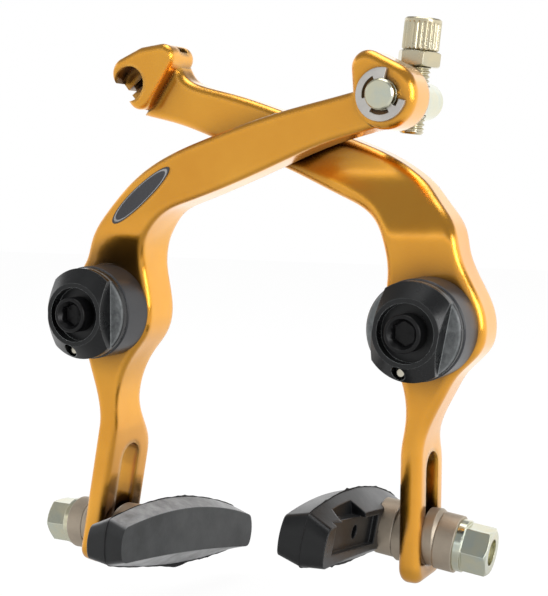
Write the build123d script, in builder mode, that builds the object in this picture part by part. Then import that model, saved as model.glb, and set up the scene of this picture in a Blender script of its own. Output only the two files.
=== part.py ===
from build123d import *
from math import atan2, cos, degrees, pi, radians, sin, sqrt, tan
import os

os.makedirs("parts", exist_ok=True)

# A centre-pull brake with two crossing arms for the small wheel of a bicycle.
# X runs from the left pivot to the right one, Y away from the viewer towards the fork, Z up.
# The origin lies midway between the pivots, on the plane of the rear arm's seat.

# Pivots
pivot_spacing = 84.0
pivot_x = pivot_spacing / 2
front_arm_swing = 10.0

# Boss of each arm
boss_depth = 11.0
boss_radius = 12.3
boss_offset = 0.4
bush_outer_radius = 5.5
bush_bore_radius = 4.5
seat_clearance = 0.45
seat = {-1: -1.2, 1: 0.0}

# Leg of each arm, from the pivot down
leg_half = 2.6
leg_middle = 4.3
leg_depth = {-1: 17.8, 1: 16.8}
slot_middle = 8.4
leg_end_radius = 4.0
leg_straight_from = 30.0
slot_width = 8.0
slot_end_wall = 3.6
stud_above_slot_end = {-1: 4.3, 1: 6.6}
rear_slot_top = 29.5
rear_slot_end = 55.9
front_slot_top = 34.4
front_slot_end = 62.0
widening_above_slot = 12.5
widening_below_slot = 4.5

# Crossing beams
front_beam_face = -6.3
front_beam_back = 3.2
rear_beam_face = 6.0
rear_beam_back = 14.5
front_face_rise = (9.0, 15.0, 18.0, 30.0)
rear_face_rise = (17.0, 25.0, 29.0, 38.0)
back_rise = (13.0, 24.0, 26.0, 38.0)
front_edge_radius = 1.4
rear_edge_radius = 2.0
above_arms = 75.0

# Lug and its anchor pin
lug_x = 32.8
lug_z = 51.0
lug_radius = 7.5
lug_proud = 0.7
lug_edge_radius = 2.2
lug_back_edge_radius = 0.8
horn_x = 28.6
horn_z = 57.2
horn_radius = 3.8
pin_radius = 3.4
pin_clearance = 0.05
pin_head_radius = 4.4
pin_head_round = 1.6
pin_tip_proud = 2.2
pin_tip_chamfer = 0.4
barrel_depth = 13.0
pin_head_beyond = 8.6
barrel_lean = 6.0

# Clip
clip_thickness = 1.0
clip_outer_radius = 5.85
clip_inner_radius = 4.4
clip_groove_radius = 2.7
clip_gap_low = -14.0
clip_gap_high = 77.0
clip_tabs = ((77.0, 115.0), (190.0, 235.0), (298.0, 322.0))
clip_clearance = 0.05

# Barrel adjuster
barrel_thread_radius = 2.95
barrel_bore_radius = 1.6
barrel_below = 7.8
barrel_end_chamfer = 0.6
housing_radius = 2.6
housing_depth = 6.0
knurl_start = 11.3
knurl_height = 7.3
knurl_radius = 4.3
knurl_depth = 0.42
knurl_teeth = 22
knurl_collar = 0.8
knurl_taper = 19.0
lock_nut_width = 9.0
lock_nut_height = 3.4
lock_nut_gap = 0.2
thread_clearance = 0.05

# Hook head
hook_face = 1.5
hook_back = 13.2
hook_corners = ((-39.1, 58.6, 3.9), (-35.2, 52.8, 3.2), (-28.8, 62.2, 3.2), (-33.8, 61.2, 3.6))
hook_edge_radius = 1.5
pocket_radius = 4.3
pocket_depth = 5.0
pocket_x = -37.9
pocket_z = 55.9
cable_slot_width = 1.6
cable_slot_depth = 3.6
cable_slot_angle = 36.0
cable_slot_reach = 22.0

# Spring set at each pivot
cover_radius = 11.3
cover_wall = 0.9
cover_depth = 8.6
cover_chamfer = 0.3
disc_radius = 11.0
disc_thickness = 1.8
disc_chamfer = 0.5
flats_cut = 33.0
shoulder_depth = 1.5
cap_depth = 4.7
rim_radius = 7.6
flats_width = 15.0
flats_turn = {-1: 0.0, 1: -10.7}
recess_radius = 6.5
recess_depth = 2.7
hub_radius = 6.0
hub_gap = 0.3
bolt_radius = 3.0
shank_radius = 3.4
bolt_clearance = 0.1
bolt_head_radius = 4.2
bolt_head_proud = 1.8
bolt_edge_radius = 0.4
socket_width = 5.0
socket_depth = 3.0
bolt_reach = 19.0
bolt_end_chamfer = 0.6
running_gap = 0.15
spring_wire = 1.8
spring_radius = 8.9
spring_half_turns = 3
spring_back_gap = 2.0
spring_leg_angle = -102.5
spring_bend_radius = 1.8
spring_tip_depth = 12.0
spring_leg_length = 2.2
leg_hole_depth = 2.5
leg_hole_radius = 1.6
wire_clearance = 0.15

# Shoe set at the end of each leg
stud_radius = 3.0
stud_hole_radius = 3.2
sphere_radius = 8.2
sphere_clearance = 0.05
dome_bore_radius = 4.6
washer_radius = 6.6
washer_back = 9.4
flange_thickness = 1.8
flange_radius = 6.0
nut_width = 10.0
nut_height = 6.0
nut_end_above_stud = 1.2
stud_end_chamfer = 0.5
stud_in_pad = 5.0
shoe_tilt = {-1: 0.6, 1: 7.6}
shoe_yaw = {-1: 4.0, 1: 1.8}
shoe_pitch = 8.7

# Pads
pad_back = 8.1
pad_length = 58.0
pad_offset = 10.0
pad_thickness = 10.6
pad_split = 5.4
pad_end_bulge = 1.2
pad_corner_radius = 2.0
pad_outlines = {
    "back": (4.6, 2.4, -4.9, -6.2),
    "split": (8.6, 4.5, -8.8, -6.8),
    "face": (6.4, 2.9, -4.9, -5.8),
}
panel_start = 8.5
panel_length = 27.0
panel_low = -3.4
panel_high = 3.4
panel_depth = 1.3
scoop_x = 24.8
scoop_radius = 8.0
scoop_depth = 3.4
pad_hole_x = 19.7
pad_hole_radius = 1.6
washer_seat_clearance = 0.3

# Oval plate on the front arm
plate_centre = (-29.7, 28.5)
plate_half_length = 10.6
plate_half_width = 2.0
plate_angle = 39.0
plate_sink = 0.3
plate_proud = 0.1
plate_clearance = 0.05

# Outlines of the beams seen from the front, from the tip down to the boss on top
# and from the boss up to the tip underneath
front_top = (
    (28, 52.6), (22, 51.2), (9, 48.3), (-3, 45), (-10.2, 42.6), (-20.4, 38.9), (-30.2, 33.5),
    (-35.4, 29), (-39.4, 25), (-45.8, 17.6), (-48.6, 12.6),
)
front_underside = (
    (-31.2, 8), (-31.7, 12.5), (-30.8, 16.8), (-28.2, 20.6), (-23.2, 24.8), (-16.8, 27.3),
    (-7.3, 30.6), (5.1, 35.5), (18.8, 40.8), (30.5, 43.9),
)
rear_top = (
    (-27.5, 62), (-25, 57.6), (-20.5, 55.3), (-13.1, 53.4), (-0.7, 49.6), (20.6, 41.7),
    (28.3, 38.6), (35.1, 34.7), (39.1, 31.5), (42.1, 28.1), (46.9, 21.8), (48.3, 16.5),
    (51, 10.4),
)
rear_underside = (
    (31.0, 8), (31.2, 13), (30.2, 18.1), (28.2, 22.1), (25.4, 24.9), (17.8, 28.7), (10.4, 31.9),
    (2.8, 35.2), (-17.8, 42.9), (-26.4, 45.9), (-36.7, 48.4),
)
# Neck between boss and leg, inward from the pivot and up
outer_neck = ((-6.2, -10.8), (-3.6, -15.3), (-0.9, -20.6))
inner_neck = ((5.9, -22), (6.2, -16), (8.4, -9.6))
outer_boss_angles = (164, 181, 199)
inner_boss_angles = (-22, -3)

swing = {-1: front_arm_swing, 1: 0.0}
slot_top = {-1: front_slot_top, 1: rear_slot_top}
slot_end = {-1: front_slot_end, 1: rear_slot_end}


# Point given inward from a pivot and up, turned with its arm
def on_arm(side, inward, up):
    turn = radians(swing[side])
    across = inward * cos(turn) + up * sin(turn)
    return (side * (pivot_x - across), up * cos(turn) - inward * sin(turn))


def on_boss(angle):
    return (boss_radius * cos(radians(angle)) - boss_offset, boss_radius * sin(radians(angle)))


# Plane square to Y that faces the viewer
def facing(x, y, z, turn=0.0):
    x_dir = (cos(radians(turn)), 0, sin(radians(turn)))
    return Plane((x, y, z), x_dir=x_dir, z_dir=(0, -1, 0))


def section(plane):
    return Plane(plane.origin, x_dir=plane.x_dir, z_dir=-plane.y_dir)


# Solid turned about the normal of a plane from points of radius and height
def turned(plane, points):
    with BuildPart() as piece:
        with BuildSketch(section(plane)):
            with BuildLine():
                Polyline(*points, close=True)
            make_face()
        revolve(axis=Axis(plane.origin, plane.z_dir))
    return piece.part


def arm_face(side):
    return (front_face_rise, front_beam_face) if side < 0 else (rear_face_rise, rear_beam_face)


# Blank of an arm: its outline cut through by its side view, then rounded
def arm_blank(side):
    leg_end = slot_end[side] + slot_end_wall
    top, underside = (front_top, front_underside) if side < 0 else (rear_top, rear_underside)
    edge_radius = front_edge_radius if side < 0 else rear_edge_radius
    rise, face = arm_face(side)
    back = front_beam_back if side < 0 else rear_beam_back
    leg_outer = leg_middle - leg_half
    leg_inner = leg_middle + leg_half
    outer = [on_arm(side, *on_boss(angle)) for angle in outer_boss_angles]
    outer += [on_arm(side, *point) for point in outer_neck]
    outer += [on_arm(side, leg_outer, -leg_straight_from)]
    inner = [on_arm(side, leg_inner, -leg_straight_from)]
    inner += [on_arm(side, *point) for point in inner_neck]
    inner += [on_arm(side, *on_boss(angle)) for angle in inner_boss_angles]
    outer = list(top) + outer
    inner = inner + list(underside)
    down = Vector(*on_arm(side, 0, -1)) - Vector(*on_arm(side, 0, 0))
    first = Vector(*outer[1]) - Vector(*outer[0])
    last = Vector(*inner[-1]) - Vector(*inner[-2])
    widen_top = -slot_top[side] + widening_above_slot
    widen_end = -slot_top[side] - widening_below_slot
    widen_middle = (widen_top + widen_end) / 2
    below = -leg_end - boss_radius
    front = seat[side]
    depth = leg_depth[side]
    with BuildPart() as blank:
        with BuildSketch(Plane.XZ.offset(depth)):
            with BuildLine():
                outer_line = Spline(
                    *outer, tangents=(first.normalized(), down), tangent_scalars=(1, 1)
                )
                outer_leg = Line(outer_line @ 1, on_arm(side, leg_outer, -leg_end))
                leg_foot = Line(outer_leg @ 1, on_arm(side, leg_inner, -leg_end))
                inner_leg = Line(leg_foot @ 1, inner[0])
                inner_line = Spline(
                    *inner, tangents=(-down, last.normalized()), tangent_scalars=(1, 1)
                )
                Line(inner_line @ 1, outer_line @ 0)
            make_face()
        extrude(amount=-3 * depth)
        with BuildSketch(Plane.YZ):
            with BuildLine():
                Line((front, below), (front, rise[0]))
                Bezier((front, rise[0]), (front, rise[1]), (face, rise[2]), (face, rise[3]))
                Polyline((face, rise[3]), (face, above_arms), (back, above_arms), (back, back_rise[3]))
                Bezier(
                    (back, back_rise[3]), (back, back_rise[2]),
                    (boss_depth, back_rise[1]), (boss_depth, back_rise[0]),
                )
                Line((boss_depth, back_rise[0]), (boss_depth, widen_top))
                Bezier(
                    (boss_depth, widen_top), (boss_depth, widen_middle),
                    (depth, widen_middle), (depth, widen_end),
                )
                Polyline((depth, widen_end), (depth, below), (front, below))
            make_face()
        extrude(amount=2 * pivot_x, both=True, mode=Mode.INTERSECT)
        foot = blank.edges().filter_by(lambda e: abs(e.length - 2 * leg_half) < 0.01)
        fillet(foot.sort_by(Axis.Z)[:2], leg_end_radius)
        outline = blank.edges().filter_by(Axis.Y, reverse=True)
        fillet(outline, edge_radius)
    return blank.part


# Middle of the spring leg that enters the arm
def leg_point(side):
    angle = radians(spring_leg_angle) - side * 2 * atan2(spring_bend_radius, spring_radius)
    angle -= side * pi * spring_half_turns
    reach = sqrt(spring_radius ** 2 + spring_bend_radius ** 2)
    return (side * pivot_x + reach * cos(angle), reach * sin(angle))


# Seat, bush hole, spring hole and shoe slot, cut alike in both arms
def arm_cuts(side):
    x = side * pivot_x
    slot_x, slot_z = on_arm(side, leg_middle, -(slot_end[side] + slot_top[side]) / 2)
    slot_plane = Plane((slot_x, slot_middle, slot_z), x_dir=(0, 1, 0), z_dir=leg_normal(side))
    spring_x, spring_z = leg_point(side)
    with BuildPart() as cuts:
        with BuildSketch(facing(x, seat[side], 0)):
            Circle(cover_radius + seat_clearance)
        extrude(amount=cover_depth)
        with BuildSketch(facing(x, seat[side], 0)):
            Circle(bush_outer_radius)
        extrude(amount=seat[side] - boss_depth)
        with BuildSketch(facing(spring_x, seat[side], spring_z)):
            Circle(spring_wire / 2 + wire_clearance)
        extrude(amount=-leg_hole_depth)
        with BuildSketch(slot_plane):
            SlotOverall(slot_end[side] - slot_top[side], slot_width, rotation=90)
        extrude(amount=2 * leg_half, both=True)
    return cuts.part


def leg_normal(side):
    inward = Vector(*on_arm(side, 1, 0)) - Vector(*on_arm(side, 0, 0))
    return Vector(inward.X, 0, inward.Y)


# Band that follows the front face of an arm from one depth to another
def face_band(side, near, far):
    rise, face = arm_face(side)
    front = seat[side]
    with BuildPart() as band:
        with BuildSketch(Plane.YZ):
            with BuildLine():
                Bezier(
                    (front + near, rise[0]), (front + near, rise[1]),
                    (face + near, rise[2]), (face + near, rise[3]),
                )
                Polyline(
                    (face + near, rise[3]), (face + near, above_arms),
                    (face + far, above_arms), (face + far, rise[3]),
                )
                Bezier(
                    (face + far, rise[3]), (face + far, rise[2]),
                    (front + far, rise[1]), (front + far, rise[0]),
                )
                Line((front + far, rise[0]), (front + near, rise[0]))
            make_face()
        extrude(amount=2 * pivot_x, both=True)
    return band.part


# Oval of the plate, cut from the band under the front face
def oval(near, far, margin):
    with BuildPart() as piece:
        with BuildSketch(facing(plate_centre[0], boss_depth, plate_centre[1], plate_angle)):
            Ellipse(plate_half_length + margin, plate_half_width + margin)
        extrude(amount=2 * boss_depth)
        add(face_band(-1, near, far), mode=Mode.INTERSECT)
    return piece.part


# Belt drawn round circles that are listed anticlockwise
def belt(circles):
    around = list(zip(circles, circles[1:] + circles[:1]))
    normals = []
    for (x, z, radius), (next_x, next_z, next_radius) in around:
        along = Vector(next_x - x, next_z - z)
        lean_in = (radius - next_radius) / along.length
        along = along.normalized()
        normals.append(Vector(along.Y, -along.X) * sqrt(1 - lean_in ** 2) + along * lean_in)
    with BuildSketch() as outline:
        with BuildLine():
            for i, ((x, z, radius), (next_x, next_z, next_radius)) in enumerate(around):
                normal, after = normals[i], normals[(i + 1) % len(normals)]
                start = degrees(atan2(normal.Y, normal.X))
                turn = (degrees(atan2(after.Y, after.X)) - start) % 360
                Line(Vector(x, z) + normal * radius, Vector(next_x, next_z) + normal * next_radius)
                CenterArc((next_x, next_z), next_radius, start, turn)
        make_face()
    return outline.sketch


# Rounded block over a belt of circles, for the lug and the hook head
def rounded_block(circles, front, back, front_radius, back_radius):
    with BuildPart() as block:
        with BuildSketch(facing(0, back, 0)):
            add(belt(circles))
        extrude(amount=back - front)
        fillet(block.faces().sort_by(Axis.Y)[0].edges(), front_radius)
        fillet(block.faces().sort_by(Axis.Y)[-1].edges(), back_radius)
    return block.part


lug_face = front_beam_face - lug_proud
lug_back = front_beam_back

lug = rounded_block(
    ((lug_x, lug_z, lug_radius), (horn_x, horn_z, horn_radius)),
    lug_face, lug_back, lug_edge_radius, lug_back_edge_radius,
)

with BuildPart() as front_arm:
    add(arm_blank(-1))
    add(lug)
    add(arm_cuts(-1), mode=Mode.SUBTRACT)
    add(oval(-1, plate_sink, plate_clearance), mode=Mode.SUBTRACT)
    with BuildSketch(facing(lug_x, lug_back, lug_z)):
        Circle(pin_radius + pin_clearance)
    extrude(amount=lug_back - lug_face, mode=Mode.SUBTRACT)

with BuildPart() as oval_plate:
    add(oval(-plate_proud, plate_sink, 0))

hook = rounded_block(hook_corners, hook_face, hook_back, hook_edge_radius, hook_edge_radius)

with BuildPart() as rear_arm:
    add(arm_blank(1))
    add(hook)
    add(arm_cuts(1), mode=Mode.SUBTRACT)
    with BuildSketch(facing(pocket_x, hook_face, pocket_z)):
        Circle(pocket_radius)
    extrude(amount=-pocket_depth, mode=Mode.SUBTRACT)
    with BuildSketch(facing(pocket_x, hook_face + pocket_depth, pocket_z, cable_slot_angle)):
        Rectangle(2 * cable_slot_reach, cable_slot_width)
    extrude(amount=-cable_slot_depth, mode=Mode.SUBTRACT)

# Anchor pin, clip, barrel and lock nut
pin_plane = Plane((lug_x, 0, lug_z), x_dir=(1, 0, 0), z_dir=(0, 1, 0))
pin_tip = lug_face - pin_tip_proud
groove_front = lug_face - clip_thickness - 2 * clip_clearance
pin_end = barrel_depth + pin_head_beyond
lean = radians(barrel_lean)
barrel_plane = Plane(
    (lug_x, barrel_depth, lug_z), x_dir=(cos(lean), 0, -sin(lean)), z_dir=(sin(lean), 0, cos(lean))
)
thread_hole_radius = barrel_thread_radius + thread_clearance

with BuildPart() as anchor_pin:
    add(turned(pin_plane, (
        (0, pin_tip), (pin_radius - pin_tip_chamfer, pin_tip),
        (pin_radius, pin_tip + pin_tip_chamfer), (pin_radius, groove_front),
        (clip_groove_radius, groove_front), (clip_groove_radius, lug_face), (pin_radius, lug_face),
        (pin_radius, lug_back + pin_clearance), (pin_head_radius, lug_back + pin_clearance),
        (pin_head_radius, pin_end), (0, pin_end),
    )))
    fillet(anchor_pin.faces().sort_by(Axis.Y)[-1].edges(), pin_head_round)
    with BuildSketch(barrel_plane):
        Circle(thread_hole_radius)
    extrude(amount=2 * pin_head_radius, both=True, mode=Mode.SUBTRACT)


# Slice of a disc between two angles
def slice_of(radius, start, end):
    with BuildSketch() as piece:
        with BuildLine():
            rim = CenterArc((0, 0), radius, start, end - start)
            Polyline(rim @ 1, (0, 0), rim @ 0)
        make_face()
    return piece.sketch


with BuildSketch() as clip_outline:
    add(slice_of(clip_outer_radius, clip_gap_high, clip_gap_low + 360))
    Circle(clip_inner_radius, mode=Mode.SUBTRACT)
    for start, end in clip_tabs:
        add(slice_of(clip_inner_radius + clip_clearance, start, end))
    Circle(clip_groove_radius + clip_clearance, mode=Mode.SUBTRACT)

with BuildPart() as e_clip:
    with BuildSketch(facing(lug_x, lug_face - clip_clearance, lug_z)):
        add(clip_outline.sketch)
    extrude(amount=clip_thickness)

with BuildPart() as barrel_adjuster:
    add(turned(barrel_plane, (
        (0, -barrel_below), (barrel_thread_radius - barrel_end_chamfer, -barrel_below),
        (barrel_thread_radius, barrel_end_chamfer - barrel_below), (barrel_thread_radius, knurl_start),
        (knurl_radius - knurl_depth, knurl_start), (knurl_radius - knurl_depth, knurl_start + knurl_height),
        (0, knurl_start + knurl_height),
    )))
    with BuildSketch(barrel_plane.offset(knurl_start)):
        Circle(knurl_radius - knurl_depth)
        with PolarLocations(knurl_radius - knurl_depth, knurl_teeth):
            RegularPolygon(2 * knurl_depth, 4)
    extrude(amount=knurl_height - knurl_collar)
    with BuildSketch(barrel_plane.offset(knurl_start + knurl_height - knurl_collar)):
        Circle(knurl_radius)
    extrude(amount=knurl_collar, taper=knurl_taper)
    with BuildSketch(barrel_plane.offset(-barrel_below)):
        Circle(barrel_bore_radius)
    extrude(amount=barrel_below + knurl_start + knurl_height, mode=Mode.SUBTRACT)
    with BuildSketch(barrel_plane.offset(knurl_start + knurl_height)):
        Circle(housing_radius)
    extrude(amount=-housing_depth, mode=Mode.SUBTRACT)


# Hexagon nut whose corners are turned off, standing on a plane, with a flange of its own or none
def hexagon_nut(plane, width, height, bore, flange=0.0, rim=0.0):
    corner = width / sqrt(3)
    bevel = (corner - width / 2) * tan(radians(30))
    with BuildPart() as nut:
        with BuildSketch(plane.offset(flange)):
            RegularPolygon(width / 2, 6, major_radius=False)
        extrude(amount=height)
        with BuildSketch(section(plane.offset(flange))):
            with BuildLine():
                low = (corner, 0) if flange else (width / 2, 0)
                Polyline(
                    (0, 0), low, (corner, bevel), (corner, height - bevel), (width / 2, height),
                    (0, height), close=True,
                )
            make_face()
        revolve(axis=Axis(plane.origin, plane.z_dir), mode=Mode.INTERSECT)
        if flange:
            with BuildSketch(plane):
                Circle(rim)
            extrude(amount=flange)
        with BuildSketch(plane):
            Circle(bore)
        extrude(amount=flange + height, mode=Mode.SUBTRACT)
    return nut.part


lock_nut_start = knurl_start - lock_nut_gap - lock_nut_height
with BuildPart() as lock_nut:
    add(hexagon_nut(
        barrel_plane.offset(lock_nut_start), lock_nut_width, lock_nut_height, thread_hole_radius
    ))

# Spring set at each pivot. Depths run from the arm's seat towards the viewer
disc_front = cover_depth + disc_thickness
cap_front = disc_front + cap_depth
cap_floor = cap_front - recess_depth
head_front = cap_front + bolt_head_proud


def pivot_bolt(side):
    reach = bolt_reach - seat[side]
    plane = facing(side * pivot_x, seat[side], 0)
    with BuildPart() as piece:
        add(turned(plane, (
            (0, -reach), (bolt_radius - bolt_end_chamfer, -reach),
            (bolt_radius, bolt_end_chamfer - reach), (bolt_radius, 0),
            (shank_radius, 0), (shank_radius, cap_floor),
            (bolt_head_radius, cap_floor), (bolt_head_radius, head_front), (0, head_front),
        )))
        fillet(piece.faces().sort_by(Axis.Y)[0].edges(), bolt_edge_radius)
        with BuildSketch(plane.offset(head_front)):
            RegularPolygon(socket_width / 2, 6, major_radius=False)
        extrude(amount=-socket_depth, mode=Mode.SUBTRACT)
    return piece.part


def spring_adjuster(side):
    plane = facing(side * pivot_x, seat[side], 0)
    bore = shank_radius + bolt_clearance
    angle = radians(spring_leg_angle)
    reach = sqrt(spring_radius ** 2 + spring_bend_radius ** 2)
    hole = (reach * cos(angle), reach * sin(angle))
    with BuildPart() as piece:
        add(turned(plane, (
            (bore, hub_gap), (hub_radius, hub_gap), (hub_radius, cover_depth),
            (disc_radius, cover_depth), (disc_radius, disc_front + shoulder_depth),
            (rim_radius, cap_front), (recess_radius, cap_front), (recess_radius, cap_floor),
            (bore, cap_floor),
        )))
        with BuildSketch(facing(side * pivot_x, seat[side] - disc_front, 0, flats_turn[side])):
            Rectangle(flats_cut, flats_cut)
            Rectangle(flats_width, flats_cut, mode=Mode.SUBTRACT)
        extrude(amount=cap_depth, mode=Mode.SUBTRACT)
        rims = piece.edges().filter_by(GeomType.CIRCLE).filter_by_position(
            Axis.Y, seat[side] - disc_front - running_gap, seat[side] - disc_front + running_gap
        )
        chamfer(rims.filter_by(lambda e: e.radius > rim_radius), disc_chamfer)
        with BuildSketch(plane.offset(cover_depth)):
            with Locations(hole):
                Circle(leg_hole_radius)
        extrude(amount=cap_front, mode=Mode.SUBTRACT)
    return piece.part


def spring_cover(side):
    with BuildPart() as piece:
        add(turned(facing(side * pivot_x, seat[side], 0), (
            (cover_radius - cover_wall, 0), (cover_radius, 0),
            (cover_radius, cover_depth - running_gap - cover_chamfer),
            (cover_radius - cover_chamfer, cover_depth - running_gap),
            (cover_radius - cover_wall, cover_depth - running_gap),
        )))
    return piece.part


def pivot_bush(side):
    with BuildPart() as piece:
        add(turned(facing(side * pivot_x, 0, 0), (
            (bush_bore_radius, -boss_depth), (bush_outer_radius, -boss_depth),
            (bush_outer_radius, -seat[side]), (bush_bore_radius, -seat[side]),
        )))
    return piece.part


# Wire wound from the arm towards the viewer in half turns, each an arc tilted so that
# it meets the next one level, with a bend and a straight leg at each end
def return_spring(side):
    start = radians(spring_leg_angle) - side * atan2(spring_bend_radius, spring_radius)
    front = -(cover_depth - running_gap - spring_wire / 2)
    step = (front + spring_back_gap) / spring_half_turns
    hand = side

    def at(angle, y):
        x = side * pivot_x + spring_radius * cos(angle)
        return Vector(x, seat[side] + y, spring_radius * sin(angle))

    def along(angle):
        return Vector(-sin(angle), 0, cos(angle)) * hand

    first, last = start - hand * pi * spring_half_turns, start
    axial = Vector(0, spring_bend_radius, 0)
    back = at(first, -spring_back_gap)
    ahead = at(last, front)
    back_bend = back - along(first) * spring_bend_radius + axial
    front_bend = ahead + along(last) * spring_bend_radius - axial
    with BuildPart() as piece:
        with BuildLine() as path:
            Line(Vector(back_bend.X, seat[side] + spring_leg_length, back_bend.Z), back_bend)
            TangentArc(back_bend, back, tangent=Vector(0, -1, 0))
            for i in range(spring_half_turns):
                angle = first + hand * pi * i
                near = at(angle, -spring_back_gap + step * i)
                TangentArc(near, at(angle + pi, -spring_back_gap + step * (i + 1)), tangent=along(angle))
            TangentArc(ahead, front_bend, tangent=along(last))
            Line(front_bend, Vector(front_bend.X, seat[side] - spring_tip_depth, front_bend.Z))
        with BuildSketch(Plane(path.line @ 0, z_dir=path.line % 0)):
            Circle(spring_wire / 2)
        sweep(path=path.line)
    return piece.part


# Shoe set. The two pairs of washers share a ball about the middle of the leg
def ball_centre(side):
    x, z = on_arm(side, leg_middle, stud_above_slot_end[side] - slot_end[side])
    return Vector(x, slot_middle, z)


# Plane at the ball's middle whose normal runs along the stud, outward or inward
def stud_plane(side, way):
    tilt, yaw = radians(shoe_tilt[side]), radians(shoe_yaw[side])
    out = Vector(side * cos(tilt) * cos(yaw), cos(tilt) * sin(yaw), -sin(tilt))
    return Plane(ball_centre(side), x_dir=(0, 1, 0), z_dir=out * way)


def leg_plane(side, way):
    return Plane(ball_centre(side), x_dir=(0, 1, 0), z_dir=leg_normal(side) * -way)


def at_radius(ball, radius):
    return (radius, sqrt(ball ** 2 - radius ** 2))


def domed_washer(side, way):
    plane = leg_plane(side, way)
    middle = (dome_bore_radius + washer_radius) / 2
    with BuildPart() as piece:
        with BuildSketch(section(plane)):
            with BuildLine():
                flat = Polyline(
                    at_radius(sphere_radius, dome_bore_radius), (dome_bore_radius, leg_half),
                    (washer_radius, leg_half), at_radius(sphere_radius, washer_radius),
                )
                ThreePointArc(flat @ 1, at_radius(sphere_radius, middle), flat @ 0)
            make_face()
        revolve(axis=Axis(plane.origin, plane.z_dir))
    return piece.part


def dished_washer(side, way):
    plane = stud_plane(side, way)
    ball = sphere_radius + sphere_clearance
    middle = (stud_hole_radius + washer_radius) / 2
    with BuildPart() as piece:
        with BuildSketch(section(plane)):
            with BuildLine():
                sides = Polyline(
                    at_radius(ball, stud_hole_radius), (stud_hole_radius, washer_back),
                    (washer_radius, washer_back), at_radius(ball, washer_radius),
                )
                ThreePointArc(sides @ 1, at_radius(ball, middle), sides @ 0)
            make_face()
        revolve(axis=Axis(plane.origin, plane.z_dir))
    return piece.part


def shoe_nut(side):
    with BuildPart() as piece:
        add(hexagon_nut(
            stud_plane(side, 1).offset(washer_back), nut_width, nut_height,
            stud_radius + thread_clearance, flange_thickness, flange_radius,
        ))
    return piece.part


def shoe_stud(side):
    stud_end = washer_back + flange_thickness + nut_height - nut_end_above_stud
    with BuildPart() as piece:
        add(turned(stud_plane(side, 1), (
            (0, -washer_back - stud_in_pad), (stud_radius, -washer_back - stud_in_pad),
            (stud_radius, stud_end - stud_end_chamfer), (stud_radius - stud_end_chamfer, stud_end),
            (0, stud_end),
        )))
    return piece.part


# Plane of the pad: x along the pad to its long end, y up, normal to the rim of the wheel
def pad_plane(side):
    inward = stud_plane(side, -1)
    up = inward.z_dir.cross(Vector(0, 1, 0)).normalized() * -side
    level = inward.z_dir.cross(up) * side
    pitch = radians(shoe_pitch)
    along = level * cos(pitch) - up * sin(pitch)
    return Plane(inward.origin, x_dir=along * -side, z_dir=inward.z_dir)


def pad_outline(shape):
    high, end_high, low, end_low = pad_outlines[shape]
    left = pad_offset - pad_length / 2
    right = pad_offset + pad_length / 2
    middle = (end_high + end_low) / 2
    with BuildSketch() as outline:
        with BuildLine():
            ThreePointArc((left, end_high), (pad_offset, high), (right, end_high))
            ThreePointArc((right, end_high), (right + pad_end_bulge, middle), (right, end_low))
            ThreePointArc((right, end_low), (pad_offset, low), (left, end_low))
            ThreePointArc((left, end_low), (left - pad_end_bulge, middle), (left, end_high))
        make_face()
        fillet(outline.vertices(), pad_corner_radius)
    return outline.sketch


def shoe_pad(side):
    plane = pad_plane(side)
    depths = {"back": pad_back, "split": pad_back + pad_split, "face": pad_back + pad_thickness}
    with BuildPart() as piece:
        for pair in (("back", "split"), ("split", "face")):
            for shape in pair:
                with BuildSketch(plane.offset(depths[shape])):
                    add(pad_outline(shape))
            loft(ruled=True)
        with BuildSketch(plane.offset(pad_back)):
            with BuildLine():
                Polyline(
                    (panel_start, panel_low), (panel_start + panel_length, panel_low),
                    (panel_start + panel_length, panel_high), (panel_start, panel_high), close=True,
                )
            make_face()
        extrude(amount=panel_depth, mode=Mode.SUBTRACT)
        with BuildSketch(plane.offset(pad_back)):
            with Locations((scoop_x, 0)):
                Circle(scoop_radius)
                Rectangle(2 * scoop_radius, 2 * panel_high, mode=Mode.SUBTRACT)
            with Locations((scoop_x, -scoop_radius)):
                Rectangle(2 * scoop_radius, 2 * scoop_radius, mode=Mode.SUBTRACT)
        extrude(amount=scoop_depth, mode=Mode.SUBTRACT)
        with BuildSketch(plane.offset(pad_back)):
            with Locations((pad_hole_x, 0)):
                Circle(pad_hole_radius)
        extrude(amount=pad_split, mode=Mode.SUBTRACT)
        with BuildSketch(plane):
            Circle(washer_radius + washer_seat_clearance)
        extrude(amount=washer_back, mode=Mode.SUBTRACT)
        with BuildSketch(plane.offset(washer_back)):
            Circle(stud_radius)
        extrude(amount=stud_in_pad, mode=Mode.SUBTRACT)
    return piece.part


pieces = {
    "front_arm": front_arm.part,
    "rear_arm": rear_arm.part,
    "oval_plate": oval_plate.part,
    "anchor_pin": anchor_pin.part,
    "e_clip": e_clip.part,
    "barrel_adjuster": barrel_adjuster.part,
    "lock_nut": lock_nut.part,
}
for side, word in ((-1, "left_"), (1, "right_")):
    pieces[word + "pivot_bolt"] = pivot_bolt(side)
    pieces[word + "spring_adjuster"] = spring_adjuster(side)
    pieces[word + "spring_cover"] = spring_cover(side)
    pieces[word + "pivot_bush"] = pivot_bush(side)
    pieces[word + "return_spring"] = return_spring(side)
    pieces[word + "inner_domed_washer"] = domed_washer(side, -1)
    pieces[word + "inner_dished_washer"] = dished_washer(side, -1)
    pieces[word + "outer_domed_washer"] = domed_washer(side, 1)
    pieces[word + "outer_dished_washer"] = dished_washer(side, 1)
    pieces[word + "shoe_nut"] = shoe_nut(side)
    pieces[word + "shoe_stud"] = shoe_stud(side)
    pieces[word + "shoe_pad"] = shoe_pad(side)

for name, piece in pieces.items():
    piece.label = name
    export_step(piece, "parts/" + name + ".step")
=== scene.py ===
import bmesh
import bpy
import numpy as np
from math import cos, radians, sin
from mathutils import Matrix, Vector


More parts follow.
